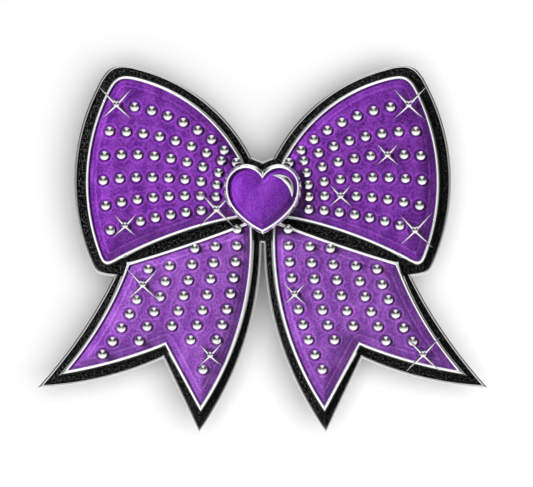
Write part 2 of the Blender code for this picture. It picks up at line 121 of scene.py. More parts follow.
def flat_loops(node, y):
    """Outlines of the node's flat faces at this y, largest first, as counter-clockwise (x, z) points."""
    points, faces = mesh_of(node)
    flat = faces[(np.abs(points[faces][:, :, 1] - y) < 2 * WELD).all(axis=1)]
    edges = {(int(a), int(b)) for face in flat for a, b in zip(face, np.roll(face, -1))}
    following = {a: b for a, b in edges if (b, a) not in edges}
    loops = []
    while following:
        start, here = following.popitem()
        loop = [start]
        while here != start:
            loop.append(here)
            here = following.pop(here)
        loop = points[loop][:, [0, 2]]
        loops.append(loop if area(loop) > 0 else loop[::-1])
    return sorted(loops, key=area, reverse=True)


def area(loop):
    """Area inside an outline, negative if it runs clockwise."""
    x, z = loop[:, 0], loop[:, 1]
    return 0.5 * np.sum(x * np.roll(z, -1) - z * np.roll(x, -1))


def turns(loop):
    """How sharply the outline turns at each point, positive to the left."""
    back = loop - np.roll(loop, 1, axis=0)
    ahead = np.roll(loop, -1, axis=0) - loop
    cross = back[:, 0] * ahead[:, 1] - back[:, 1] * ahead[:, 0]
    return np.arctan2(cross, (back * ahead).sum(axis=1))


def sharp_points(loop):
    return np.abs(turns(loop)) > CORNER


def refined(loop, step):
    """A finer outline on a smooth curve through the same points, and where its corners are in it."""
    sharp = sharp_points(loop)
    count = len(loop)
    fine, corners = [], []
    for i in range(count):
        j = (i + 1) % count
        start, end = loop[i], loop[j]
        before = 2 * start - end if sharp[i] else loop[i - 1]
        after = 2 * end - start if sharp[j] else loop[(j + 1) % count]
        length = np.linalg.norm(end - start)
        slope_start = tangent(before, start, end) * length
        slope_end = tangent(start, end, after) * length
        if sharp[i]:
            corners.append(len(fine))
            slope_start = 1.5 * (end - start) - 0.5 * slope_end
        if sharp[j]:
            slope_end = 1.5 * (end - start) - 0.5 * slope_start
        pieces = max(1, math.ceil(length / step))
        for k in range(pieces):
            t = k / pieces
            # a cubic Hermite curve from start to end
            fine.append(
                (2 * t**3 - 3 * t**2 + 1) * start
                + (t**3 - 2 * t**2 + t) * slope_start
                + (3 * t**2 - 2 * t**3) * end
                + (t**3 - t**2) * slope_end
            )
    return np.array(fine), corners


def tangent(before, here, after):
    """Direction of the circle through three points, at the middle one, with about unit length."""
    back, ahead = here - before, after - here
    a, b = np.linalg.norm(back), np.linalg.norm(ahead)
    way = back / a * b + ahead / b * a
    return way / np.linalg.norm(way)


def offset(loop, corners, distance):
    """The outline moved outwards by this distance. Points that would pass a corner stop at it."""
    back = loop - np.roll(loop, 1, axis=0)
    ahead = np.roll(loop, -1, axis=0) - loop
    back /= np.linalg.norm(back, axis=1)[:, None]
    ahead /= np.linalg.norm(ahead, axis=1)[:, None]
    normal_back = np.stack([back[:, 1], -back[:, 0]], axis=1)
    normal_ahead = np.stack([ahead[:, 1], -ahead[:, 0]], axis=1)
    normal = normal_back + normal_ahead
    normal /= (normal * normal_ahead).sum(axis=1)[:, None]
    moved = loop + normal * distance
    count = len(loop)
    for corner in corners:
        for way, direction in ((1, ahead[corner]), (-1, -back[corner])):
            for k in range(1, count // 3):
                i = (corner + way * k) % count
                if i in corners or (moved[i] - moved[corner]) @ direction > 0:
                    break
                moved[i] = moved[corner]
    return moved


def inside_depth(points, loop):
    """How far each point is inside the outline, negative outside."""
    a, b = loop, np.roll(loop, -1, axis=0)
    nearest = np.full(len(points), np.inf)
    crossings = np.zeros(len(points), int)
    x, z = points[:, 0], points[:, 1]
    for (ax, az), (bx, bz) in zip(a, b):
        way = np.array([bx - ax, bz - az])
        share = ((x - ax) * way[0] + (z - az) * way[1]) / (way @ way)
        share = share.clip(0, 1)
        nearest = np.minimum(nearest, np.hypot(x - ax - share * way[0], z - az - share * way[1]))
        spans = (az > z) != (bz > z)
        if spans.any():
            crossings[spans] += x[spans] < ax + (bx - ax) * (z[spans] - az) / (bz - az)
    return np.where(crossings % 2, nearest, -nearest)


# Building


def new_piece(name, bm, material, node, smooth_angle=40):
    """An object of this mesh on the bow's body, in place of this CAD node."""
    bmesh.ops.recalc_face_normals(bm, faces=bm.faces)
    mesh = bpy.data.meshes.new(name)
    bm.to_mesh(mesh)
    bm.free()
    piece = bpy.data.objects.new(name, mesh)
    bpy.context.scene.collection.objects.link(piece)
    mesh.materials.append(material)
    mesh.shade_smooth()
    mesh.set_sharp_from_angle(angle=math.radians(smooth_angle))
    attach(piece, BODY)
    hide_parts(node)
    return piece


def set_shares(piece, name, shares):
    """Stores a value on each point of the piece, for its material to read."""
    piece.data.attributes.new(name, "FLOAT", "POINT").data.foreach_set("value", shares)


def flat_places(piece):
    """The (x, z) places of a piece's points."""
    return np.array([v.co for v in piece.data.vertices])[:, [0, 2]]


def loft(rings, closed=False, capped=True):
    """Faces through rings of equally many (x, z) points, each at its own y, with meeting points welded."""
    bm = bmesh.new()
    loops = [[bm.verts.new((x, y, z)) for x, z in ring] for ring, y in rings]
    pairs = list(zip(loops, loops[1:]))
    if closed:
        pairs.append((loops[-1], loops[0]))
    for low, high in pairs:
        for i in range(len(low)):
            bm.faces.new((low[i - 1], low[i], high[i], high[i - 1]))
    if not closed:
        bm.faces.new(loops[0])
        if capped:
            bm.faces.new(loops[-1])
    bmesh.ops.remove_doubles(bm, verts=bm.verts, dist=WELD)
    return bm


def field(loop, spacing, height_at, back_at, insets):
    """A closed solid over an outline: its front and back y come from functions of the (x, z) points.

    The points stand on rings at these insets from the outline, and on a triangular grid inside them.
    """
    corners = np.flatnonzero(sharp_points(loop))
    points = [loop]
    for inset in insets:
        ring = offset(loop, corners, -inset)
        points.append(ring[inside_depth(ring, loop) > 0.95 * inset])
    low, high = loop.min(axis=0), loop.max(axis=0)
    rows = np.arange(low[1], high[1], spacing * math.sqrt(0.75))
    columns = np.arange(low[0], high[0], spacing)
    grid = np.array([(x + (row % 2) * spacing / 2, z) for row, z in enumerate(rows) for x in columns])
    points.append(grid[inside_depth(grid, loop) > insets[-1] + 0.6 * spacing])
    flat = [Vector(p) for p in np.concatenate(points)]
    flat, _, faces, *_ = delaunay_2d_cdt(flat, [], [list(range(len(loop)))], 1, 1e-7)
    places = np.array([tuple(p) for p in flat])
    bm = bmesh.new()
    fronts = [bm.verts.new((x, y, z)) for (x, z), y in zip(places, height_at(places))]
    backs = [bm.verts.new((x, y, z)) for (x, z), y in zip(places, back_at(places))]
    for face in faces:
        bm.faces.new([fronts[i] for i in face])
        bm.faces.new([backs[i] for i in reversed(face)])
    edges = {edge for face in faces for edge in zip(face[-1:] + face[:-1], face)}
    for i, j in edges:
        if (j, i) not in edges:
            bm.faces.new((fronts[i], fronts[j], backs[j], backs[i]))
    bmesh.ops.delete(bm, geom=[v for v in bm.verts if not v.link_faces], context="VERTS")
    return bm


def level(y):
    """A flat surface at this y, for a field."""
    return lambda points: np.full(len(points), y)


def bell(value, middle, width):
    """1 at the middle, falling smoothly to about 0 two widths away."""
    return np.exp(-(((value - middle) / width) ** 2))


def quarter_round(depth, width):
    """0 at an edge and 1 from this width inwards, on a quarter ellipse."""
    share = np.clip(depth / width, 0, 1)
    return np.sqrt(1 - (1 - share) ** 2)


# Materials


class Nodes:
    """Short ways to add and link shader nodes."""

    def __init__(self, tree):
        self.tree = tree

    def add(self, kind, values=None, **settings):
        node = self.tree.nodes.new(kind)
        for key, value in settings.items():
            setattr(node, key, value)
        for key, value in (values or {}).items():
            if hasattr(value, "is_output"):
                self.tree.links.new(value, node.inputs[key])
            else:
                node.inputs[key].default_value = value
        return node

    def place(self, scale=(1, 1, 1)):
        """Object coordinates in millimetres, times scale."""
        coordinates = self.add("ShaderNodeTexCoord").outputs["Object"]
        values = {"Vector": coordinates, "Scale": [1000 * s for s in scale]}
        return self.add("ShaderNodeMapping", values).outputs["Vector"]

    def noise(self, scale, detail, stretch=(1, 1, 1), roughness=0.5):
        values = {"Scale": scale, "Detail": detail, "Roughness": roughness}
        return self.add("ShaderNodeTexNoise", {"Vector": self.place(stretch), **values}).outputs["Fac"]

    def cells(self, scale):
        values = {"Vector": self.place(), "Scale": scale}
        return self.add("ShaderNodeTexVoronoi", values).outputs["Distance"]

    def stored(self, name):
        """A value that the mesh holds at each point."""
        return self.add("ShaderNodeAttribute", attribute_name=name).outputs["Fac"]

    def ramp(self, factor, low, high, start=0.0, end=1.0):
        """Start to end as the factor goes from low to high."""
        values = {"Value": factor, "From Min": low, "From Max": high, "To Min": start, "To Max": end}
        return self.add("ShaderNodeMapRange", values).outputs["Result"]

    def mix(self, factor, first, second):
        node = self.add("ShaderNodeMix", data_type="RGBA")
        for socket, value in (("Factor", factor), ("A", first), ("B", second)):
            inputs = [s for s in node.inputs if s.name == socket and s.enabled]
            if hasattr(value, "is_output"):
                self.tree.links.new(value, inputs[-1])
            else:
                inputs[-1].default_value = value if socket == "Factor" else (*value, 1)
        return next(s for s in node.outputs if s.enabled)

    def grey(self, value):
        parts = {"Red": value, "Green": value, "Blue": value}
        return self.add("ShaderNodeCombineColor", parts).outputs["Color"]

    def math(self, operation, first, second=0.0):
        return self.add("ShaderNodeMath", {0: first, 1: second}, operation=operation).outputs[0]

    def bump(self, height, strength, distance):
        values = {"Height": height, "Strength": strength, "Distance": distance}
        return self.add("ShaderNodeBump", values).outputs["Normal"]


def new_material(name, **plain):
    """A material, its Principled shader with these plain values, and its nodes."""
    material = bpy.data.materials.new(name)
    material.use_nodes = True
    shader = material.node_tree.nodes["Principled BSDF"]
    for key, value in plain.items():
        socket = shader.inputs[key.replace("_", " ").title().replace("Ior", "IOR")]
        socket.default_value = (*value, 1) if isinstance(value, tuple) else value
    return material, shader, Nodes(material.node_tree)


def link(nodes, shader, **sockets):
    """Links these outputs to the shader's inputs of the same names."""
    for key, value in sockets.items():
        nodes.tree.links.new(value, shader.inputs[key.replace("_", " ").title()])


def polished_metal(name, colour, low, high, relief, crest_highlight=0.0):
    """Metal with a roughness from low to high in a faint haze, and hair scratches.

    The last argument is how much metallic look the piece gives up along its "crest" points: a painted
    highlight that leaves the crest a soft diffuse white.
    """
    material, shader, nodes = new_material(name, metallic=1.0)
    # painted highlight: along the crest the metal turns partly diffuse, a soft white in place of a
    # reflected highlight
    if crest_highlight:
        link(nodes, shader, metallic=nodes.ramp(nodes.stored("crest"), 0.2, 0.9, 1.0, 1.0 - crest_highlight))
    haze = nodes.noise(0.35, 4)
    scratches = nodes.noise(1.0, 2, (6, 6, 0.35))
    shade = nodes.mix(nodes.ramp(haze, 0.3, 0.7), colour, tuple(0.93 * c for c in colour))
    link(
        nodes,
        shader,
        base_color=shade,
        roughness=nodes.ramp(haze, 0.3, 0.75, low, high),
        normal=nodes.bump(scratches, relief, 0.00002),
    )
    return material


def leatherette():
    """Black imitation leather with a fine pebble grain."""
    material, shader, nodes = new_material("black leatherette", specular_ior_level=0.04)
    pebbles = nodes.cells(2.3)
    speckle = nodes.noise(1.5, 0.5)
    height = nodes.math("ADD", pebbles, nodes.math("MULTIPLY", speckle, 0.6))
    shade = nodes.mix(nodes.ramp(speckle, 0.5, 0.74), (0.0, 0.0, 0.0), (0.03, 0.03, 0.031))
    link(
        nodes,
        shader,
        base_color=shade,
        roughness=nodes.ramp(speckle, 0.3, 0.7, 0.38, 0.6),
        normal=nodes.bump(height, 0.5, 0.00012),
    )
    return material


def satin(name, colour, light, relief, grain=1.9):
    """Satin with a fine weave, a speckle of brighter threads and soft streaks.

    Relief is how strongly the points' stored crease values lighten or darken it: painted highlights along
    the creases and painted shade in the hollows beside them.
    """
    material, shader, nodes = new_material(name, specular_ior_level=0.2)
    threads = nodes.noise(grain, 1, roughness=0.7)
    streaks = nodes.noise(0.22, 3, (1.0, 1.0, 0.45))
    speckle = nodes.ramp(threads, 0.36, 0.64, -0.07, 0.46)
    blend = nodes.math("ADD", speckle, nodes.ramp(streaks, 0.35, 0.65, -0.1, 0.25))
    # painted highlights and painted shade, from the crease values stored on the points
    blend = nodes.math("ADD", blend, nodes.math("MULTIPLY", nodes.stored("crease_light_and_shade"), relief))
    weave = nodes.add(
        "ShaderNodeTexWave",
        {"Vector": nodes.place(), "Scale": 1.6, "Distortion": 1.5, "Detail": 2.0, "Detail Scale": 3.0},
        bands_direction="DIAGONAL",
    ).outputs["Fac"]
    height = nodes.math("ADD", nodes.math("MULTIPLY", weave, 0.35), threads)
    link(
        nodes,
        shader,
        base_color=nodes.mix(blend, colour, light),
        roughness=nodes.ramp(threads, 0.3, 0.7, 0.34, 0.5),
        normal=nodes.bump(height, 0.5, 0.0001),
    )
    return material


def felt():
    material, shader, nodes = new_material("black felt", roughness=0.95, sheen_weight=0.6)
    fibres = nodes.noise(3.0, 5, roughness=0.7)
    shade = nodes.mix(nodes.ramp(fibres, 0.35, 0.7), (0.01, 0.01, 0.011), (0.06, 0.06, 0.065))
    link(nodes, shader, base_color=shade, normal=nodes.bump(fibres, 0.9, 0.0003))
    return material


def foam():
    material, shader, nodes = new_material("foam", roughness=0.95)
    cells = nodes.cells(1.6)
    shade = nodes.mix(nodes.ramp(cells, 0.0, 0.7), (0.5, 0.5, 0.47), (0.8, 0.8, 0.77))
    link(nodes, shader, base_color=shade, normal=nodes.bump(cells, 0.6, 0.0003))
    return material


CHROME = polished_metal("chrome", (0.88, 0.88, 0.885), 0.06, 0.12, 0.03)
# its last value paints a highlight along each rim's crest
RIM_CHROME = polished_metal("rim chrome", (0.93, 0.93, 0.935), 0.08, 0.14, 0.03, crest_highlight=0.25)
STUD_CHROME = polished_metal("stud chrome", (0.93, 0.93, 0.93), 0.08, 0.14, 0.01)
PLATE = polished_metal("polished plate", (0.80, 0.81, 0.82), 0.14, 0.26, 0.06)
STEEL = polished_metal("spring steel", (0.66, 0.67, 0.69), 0.22, 0.38, 0.08)
BORDER = leatherette()
# the last number of each satin sets how strongly its painted crease highlights and shade show
LOOP_SATIN = satin("loop satin", (0.034, 0.003, 0.074), (0.150, 0.032, 0.255), 0.34)
TAIL_SATIN = satin("tail satin", (0.055, 0.011, 0.105), (0.190, 0.066, 0.285), 0.36)
HEART_SATIN = satin("heart satin", (0.050, 0.004, 0.115), (0.140, 0.031, 0.26), 0.4, grain=2.2)
FELT = felt()
FOAM = foam()


# The flat layers


LIP_WIDTH = 1.0 * MM
LIP_DROP = 0.42 * MM  # from the lip's top to where its round sides end
LIP_FACETS = 8
WALL_BEVEL = 0.25 * MM
FLOOR_GAP = 0.3 * MM  # from the border sheet's back to the tray's floor
SHEET_GROWTH = 0.25 * MM  # closes the CAD's clearance between sheet and lip


def y_range(node):
    """The y of the node's front and of its back."""
    low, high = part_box(node)
    return low.y, high.y


def make_plate():
    """The tray: outer wall, rounded lip, and the floor that the border sheet lies on."""
    front, back = y_range("backing_plate")
    loop, corners = refined(flat_loops("backing_plate", back)[0], PLATE_STEP)
    _, sheet_back = y_range("border_sheet")
    shoulder = front + LIP_DROP
    rings = [(offset(loop, corners, -WALL_BEVEL), back), (loop, back - WALL_BEVEL), (loop, shoulder)]
    for i in range(1, LIP_FACETS):
        turn = math.pi * i / LIP_FACETS
        across = LIP_WIDTH / 2 * (1 - math.cos(turn))
        rings.append((offset(loop, corners, -across), front + LIP_DROP * (1 - math.sin(turn))))
    inner = offset(loop, corners, -LIP_WIDTH)
    rings += [(inner, shoulder), (inner, sheet_back + FLOOR_GAP)]
    new_piece("backing_tray", loft(rings), PLATE, "backing_plate")


def make_border():
    """The black sheet inside the lip, with its edge rounded over."""
    front, back = y_range("border_sheet")
    loop, corners = refined(flat_loops("border_sheet", back)[0], PLATE_STEP)
    loop = offset(loop, corners, SHEET_GROWTH)
    rings = [
        (loop, back),
        (loop, front + 0.25 * MM),
        (offset(loop, corners, -0.08 * MM), front + 0.08 * MM),
        (offset(loop, corners, -0.28 * MM), front),
    ]
    new_piece("border_leatherette", loft(rings), BORDER, "border_sheet")


# A rim's section, as shares of its width: how far across from the inner side, and how far behind the crest.
# It has a round crest beside the satin, and a long steep flank that mirrors the black border.
RIM_SECTION = (
    (0.0, 0.45),
    (0.03, 0.22),
    (0.1, 0.08),
    (0.2, 0.01),
    (0.29, 0.0),
    (0.38, 0.03),
    (0.48, 0.12),
    (0.6, 0.28),
    (0.74, 0.5),
    (0.87, 0.7),
    (1.0, 0.88),
)
RIM_WIDTH = 1.9 * MM
RIM_DROP = 0.2 * MM  # from the CAD rim's flat top down to the crest


def bead_rings(inner, outer, width, crest, back):
    """Rings of a frame between two outlines of equally many points."""
    rings = [(inner, back)]
    rings += [(inner + (outer - inner) * share, crest + width * drop) for share, drop in RIM_SECTION]
    return rings + [(outer, back)]


def paint_crest_highlight(piece, inner, width):
    """Marks how near each point is to the crest, where a painted highlight turns the plating a soft white.
    """
    away = -inside_depth(flat_places(piece), inner)
    set_shares(piece, "crest", bell(away, 0.27 * width, 0.26 * width))


def make_bead(name, node, inner, outer, width, crest, back):
    """A polished frame between two outlines."""
    bm = loft(bead_rings(inner, outer, width, crest, back), closed=True)
    paint_crest_highlight(new_piece(name, bm, RIM_CHROME, node, smooth_angle=50), inner, width)


def make_rim(kind, side):
    """The frame round one panel."""
    node = f"{kind}_rim_{side}"
    front, back = y_range(node)
    _, inner = flat_loops(node, back)
    inner, corners = refined(inner, PANEL_STEP)
    outer = offset(inner, corners, RIM_WIDTH)
    make_bead(f"{kind}_bead_{side}", node, inner, outer, RIM_WIDTH, front + RIM_DROP, back)


# Studs and sparkles


def stud_places(kind, side, row):
    """Where the domes of a CAD stud row stand: the points that reach furthest forward."""
    points, _ = mesh_of(f"{kind}_studs_{side}_{row}")
    tops = points[points[:, 1] < points[:, 1].min() + 1e-5]
    return tops[:, [0, 2]]


ROWS = {"loop": 6, "tail": 5}
STUDS = {
    (kind, side, row): stud_places(kind, side, row)
    for kind in ROWS
    for side in SIDES
    for row in range(1, ROWS[kind] + 1)
}
SPARKLE_NODES = sorted(name for name in frame["nodes"] if name.startswith("sparkle_"))
STUD_RADIUS = 1.73 * MM
STUD_SUNK = 0.2 * MM  # how deep a stud's foot stands in the satin
CAP_EDGE = math.radians(47)  # how far the cap has turned at its edge
CAP_RINGS = 9


def add_dome(bm, x, z, base, top, radius, sides=28):
    """A polished stud: an upright foot, and the cap of a larger ball on it."""
    ball = radius / math.sin(CAP_EDGE)
    levels = [(1.0, base)]
    for i in range(CAP_RINGS):
        turn = CAP_EDGE * (1 - i / CAP_RINGS)
        levels.append((math.sin(turn) / math.sin(CAP_EDGE), top + ball * (1 - math.cos(turn))))
    rings = []
    for share, y in levels:
        reach = share * radius
        ring = []
        for k in range(sides):
            turn = 2 * math.pi * k / sides
            ring.append(bm.verts.new((x + reach * math.cos(turn), y, z + reach * math.sin(turn))))
        rings.append(ring)
    apex = bm.verts.new((x, top, z))
    bm.faces.new(rings[0])
    for low, high in zip(rings, rings[1:]):
        for i in range(sides):
            bm.faces.new((low[i - 1], low[i], high[i], high[i - 1]))
    for i in range(sides):
        bm.faces.new((rings[-1][i - 1], rings[-1][i], apex))


def make_stud_row(kind, side, row, surface):
    """One row of studs, each standing on the cover."""
    node = f"{kind}_studs_{side}_{row}"
    top, _ = y_range(node)
    places = STUDS[kind, side, row]
    bm = bmesh.new()
    for (x, z), ground in zip(places, surface(places)):
        add_dome(bm, x, z, ground + STUD_SUNK, top, STUD_RADIUS)
    new_piece(f"{kind}_domes_{side}_{row}", bm, STUD_CHROME, node)


ARM_HALF_WIDTH = 0.62 * MM  # of a sparkle's arm, at its root
ARM_TIP_WIDTH = 0.06 * MM
STAR_DEPTH = 0.8 * MM  # from the boss's top to the back of the arms
STEM_RADIUS = 0.7 * MM
BOSS_RADIUS = 1.15 * MM


def star_place(node):
    """The (x, z) middle of a sparkle."""
    low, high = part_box(node)
    return np.array([(low.x + high.x) / 2, (low.z + high.z) / 2])


def star_outline(reach):
    """Outline of a star with four tapered diagonal arms, and the place on a ridge beside each point."""
    shares = (0.1, 0.2, 0.32, 0.46, 0.6, 0.74, 0.86, 0.95)
    outline, ridge = [], []
    for arm in range(4):
        turn = math.radians(45 + 90 * arm)
        along = np.array([math.cos(turn), math.sin(turn)])
        across = np.array([-along[1], along[0]])
        spots = [(s, -1) for s in shares] + [(1.0, 0)] + [(s, 1) for s in reversed(shares)]
        for share, way in spots:
            width = ARM_HALF_WIDTH * (1 - share) ** 1.1 + ARM_TIP_WIDTH
            ridge.append(along * reach * share)
            outline.append(along * reach * share + across * way * width)
    return np.array(outline), np.array(ridge)


def make_sparkle(node):
    """A star with a ridge along each arm and a round boss in the middle, on its stem."""
    low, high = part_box(node)
    middle = star_place(node)
    outline, ridge = star_outline((high.x - low.x) / 2 * math.sqrt(2))
    stem = middle + outline / np.hypot(*outline.T)[:, None] * STEM_RADIUS
    back = low.y + STAR_DEPTH
    rings = [
        (stem, high.y),
        (stem, back),
        (middle + outline, back),
        (middle + outline, back - 0.12 * MM),
        (middle + (outline + ridge) / 2, back - 0.35 * MM),
        (middle + ridge, back - 0.45 * MM),
    ]
    bm = loft(rings, capped=False)
    add_dome(bm, *middle, back - 0.05 * MM, low.y, BOSS_RADIUS, sides=20)
    new_piece(node.replace("sparkle", "star"), bm, CHROME, node, smooth_angle=35)


# Padded panels


COVER_OVERLAP = 0.3 * MM  # how far a cover reaches past its pad, under the rim
COVER_THICKNESS = 0.35 * MM
FOAM_STEP = 3 * MM
PUFF_WIDTH = 10 * MM  # from a panel's edge to where its padding is level
PUFF_HEIGHT = 2.2 * MM  # from the edge to the level part
PUFF_RISE = 0.6 * MM  # how far the level part stands in front of the CAD cover
RIPPLE_LENGTH = 1.25 * MM  # of the puckers along a panel's edge
WAVES = 14  # in the cloth's slight unevenness
WAVE_NUMBER = 260  # radians in a metre


def padded_surface(kind, side):
    """A panel's outline, and functions for its front y and for the painted highlights and shade of its
    creases at (x, z) points.
    """
    _, pad_back = y_range(f"{kind}_pad_{side}")
    front, _ = y_range(f"{kind}_cover_{side}")
    outline, corners = refined(flat_loops(f"{kind}_pad_{side}", pad_back)[0], PANEL_STEP)
    outline = offset(outline, corners, COVER_OVERLAP)
    pressed = [STUDS[kind, side, row] for row in range(1, ROWS[kind] + 1)]
    pressed += [star_place(name)[None] for name in SPARKLE_NODES if f"_{kind}_{side}_" in name]
    pressed = np.concatenate(pressed)
    rng = np.random.default_rng(7)
    waves = rng.normal(size=(WAVES, 2)) * WAVE_NUMBER
    phases = rng.uniform(0, 2 * math.pi, WAVES)

    def depth_and_away(points):
        """How far each point is inside the outline, and from the nearest stud or sparkle."""
        away = np.hypot(*(points[:, None] - pressed[None]).transpose(2, 0, 1)).min(axis=1)
        return inside_depth(points, outline).clip(0), away

    def puckers(depth, reach):
        """Ripples that run along the edge and fade over this reach."""
        return np.cos(depth / RIPPLE_LENGTH * 2 * math.pi) * bell(depth, 0, reach)

    def surface(points):
        """A rounded edge and a level middle, with a dip under each stud and a raised ring round it."""
        depth, away = depth_and_away(points)
        y = front + PUFF_HEIGHT * (1 - np.minimum(depth / PUFF_WIDTH, 1)) ** 2 - PUFF_RISE
        ring = bell(away, 3.1 * MM, 0.42 * MM)
        dip = np.exp(-((away / (2.35 * MM)) ** 4))
        ripple = puckers(depth, 3.2 * MM)
        cloth = np.cos(points @ waves.T + phases).sum(axis=1) / WAVES
        calm = np.clip(depth / (1.2 * MM), 0, 1)
        return y + calm * (-0.17 * ring + 0.36 * dip - 0.08 * ripple - 0.25 * cloth) * MM

    def painted_crease_shading(points):
        """Painted highlights and shade on the satin: light rings round the studs with painted shade inside
        them, a light line along the edge with a darker band inside it, and light puckers along the edge.
        """
        depth, away = depth_and_away(points)
        # painted light: light lines on the rings, edge line and puckers, and painted shade in the hollows
        ring = bell(away, 3.05 * MM, 0.25 * MM)
        hollow_shade = bell(away, 2.45 * MM, 0.5 * MM)
        edge_highlight_and_shade = bell(depth, 2.9 * MM, 0.27 * MM) - 0.5 * bell(depth, 3.6 * MM, 0.4 * MM)
        return 1.3 * ring - 0.3 * hollow_shade + 1.2 * edge_highlight_and_shade + 0.4 * puckers(depth, 3.5 * MM)

    return outline, surface, painted_crease_shading


def make_panel(kind, side, material, outline, surface, painted_crease_shading):
    """One panel's satin cover, and the foam pad under it."""
    insets = (0.25 * MM, 0.6 * MM, 1.1 * MM, 1.8 * MM)
    bm = field(outline, 0.5 * MM, surface, lambda p: surface(p) + COVER_THICKNESS, insets)
    cover = new_piece(f"{kind}_satin_{side}", bm, material, f"{kind}_cover_{side}")
    # painted highlights and shade on the cover's creases
    set_shares(cover, "crease_light_and_shade", painted_crease_shading(flat_places(cover)))
    pad = f"{kind}_pad_{side}"
    _, back = y_range(pad)
    coarse, _ = refined(flat_loops(pad, back)[0], FOAM_STEP)
    bm = field(coarse, FOAM_STEP, lambda p: surface(p) + 2 * COVER_THICKNESS, level(back), (1 * MM,))
    new_piece(f"{kind}_foam_{side}", bm, FOAM, pad)


# The heart


BEZEL_STEP = 0.35 * MM
BEZEL_WIDTH = 1.7 * MM
CLEFT_DROP = 0.85 * MM
CLEFT_WIDTH = 1.2 * MM
GEM_STEP = 0.45 * MM
GEM_OVERLAP = 0.3 * MM  # how far the heart reaches past its CAD outline, under the bezel


def with_cleft(loop):
    """The heart's outline with its cleft drawn down to a sharp point."""
    drop = CLEFT_DROP * np.exp(-np.abs(loop[:, 0]) / CLEFT_WIDTH) * (loop[:, 1] > 0)
    return loop - np.stack([np.zeros(len(loop)), drop], axis=1)


def make_heart():
    """The polished setting, the puffed heart in it, and the crescent on its shoulder."""
    front, back = y_range("heart_bezel")
    inner, corners = refined(flat_loops("heart_bezel", back)[1], BEZEL_STEP)
    outer = offset(inner, corners, BEZEL_WIDTH)
    make_bead("heart_setting", "heart_bezel", with_cleft(inner), outer, BEZEL_WIDTH, front, back)

    gem_front, gem_back = y_range("heart_gem")
    edge, corners = refined(flat_loops("heart_gem", gem_back)[0], GEM_STEP)
    edge = with_cleft(offset(edge, corners, GEM_OVERLAP))

    def dome(points):
        """A puffed hem, a groove where it is stitched down, and the cushion inside it."""
        depth = inside_depth(points, edge).clip(0)
        hem = 0.25 * quarter_round(depth, 0.7 * MM)
        groove = 0.1 * bell(depth, 1.6 * MM, 0.3 * MM)
        shoulder = 1.3 * quarter_round((depth - 1.2 * MM).clip(0), 5.5 * MM)
        crown = 1.5 * (1 - (np.hypot(*points.T) / (13 * MM)) ** 2).clip(0)
        return gem_front + (3.0 - hem + groove - shoulder - crown) * MM

    bm = field(edge, 0.4 * MM, dome, level(gem_back), (0.2 * MM, 0.5 * MM, 0.9 * MM))
    depth = inside_depth(np.array([v.co for v in bm.verts])[:, [0, 2]], edge)
    cushion = [v for v, d in zip(bm.verts, depth) if d > 2.3 * MM and v.co.y < gem_back - 0.1 * MM]
    # smoothing rounds off the ridge that depth alone leaves along the heart's middle
    only_y = {"use_axis_x": False, "use_axis_y": True, "use_axis_z": False}
    for _ in range(30):
        bmesh.ops.smooth_vert(bm, verts=cushion, factor=0.5, **only_y)
    gem = new_piece("heart_cushion", bm, HEART_SATIN, "heart_gem")
    # painted highlight on the stitch line, and painted shade on either side of it
    stitch_highlight = bell(depth, 1.5 * MM, 0.22 * MM)
    beside_shade = 0.6 * bell(depth, 2.1 * MM, 0.4 * MM) + 0.5 * bell(depth, 0.9 * MM, 0.4 * MM)
    set_shares(gem, "crease_light_and_shade", stitch_highlight - beside_shade)
    make_crescent(dome)


CRESCENT_STEPS = 36  # from tip to tip
CRESCENT_LANES = 8  # from the inner arc to the outer one
CRESCENT_DEPTH = 0.35 * MM  # how thick it is at its edge


def make_crescent(dome):
    """A polished crescent, rounded across, that lies on the heart's shoulder."""
    points, _ = mesh_of("heart_crescent")
    flat = points[:, [0, 2]]
    first, last = flat[np.argmin(flat[:, 0])], flat[np.argmin(flat[:, 1])]
    chord = last - first
    first, last = first - 0.03 * chord, last + 0.03 * chord
    chord = last - first
    length = np.linalg.norm(chord)
    along = chord / length
    across = np.array([-along[1], along[0]])
    bulge = (flat - first) @ across
    if abs(bulge.min()) > bulge.max():
        across, bulge = -across, -bulge
    outer = bulge.max()
    middle = np.abs((flat - first) @ along - length / 2) < 0.12 * length
    inner = bulge[middle].min() - 0.1 * MM
    bm = bmesh.new()
    rows = []
    for i in range(CRESCENT_STEPS + 1):
        t = i / CRESCENT_STEPS
        arch = 4 * t * (1 - t)
        row = []
        for k in range(CRESCENT_LANES + 1):
            s = k / CRESCENT_LANES
            reach = (inner + (outer - inner) * s) * arch ** (0.95 - 0.3 * s)
            place = first + along * length * t + across * reach
            swell = math.sin(math.pi * s) * arch**0.5
            y = dome(place[None])[0] - (0.08 + 0.8 * swell) * MM
            row.append(bm.verts.new((place[0], y, place[1])))
        rows.append(row)
    for low, high in zip(rows, rows[1:]):
        for i in range(CRESCENT_LANES):
            bm.faces.new((low[i], low[i + 1], high[i + 1], high[i]))
    bmesh.ops.remove_doubles(bm, verts=bm.verts, dist=WELD)
    shell = bmesh.ops.extrude_face_region(bm, geom=bm.faces[:])
    moved = [v for v in shell["geom"] if isinstance(v, bmesh.types.BMVert)]
    bmesh.ops.translate(bm, vec=(0, CRESCENT_DEPTH, 0), verts=moved)
    new_piece("heart_glint", bm, CHROME, "heart_crescent", smooth_angle=60)


# Behind the bow


BARRETTE = ("clip_base", "hinge_pin", "clasp_arm", "tension_bar", "catch_ear_upper", "catch_ear_lower")


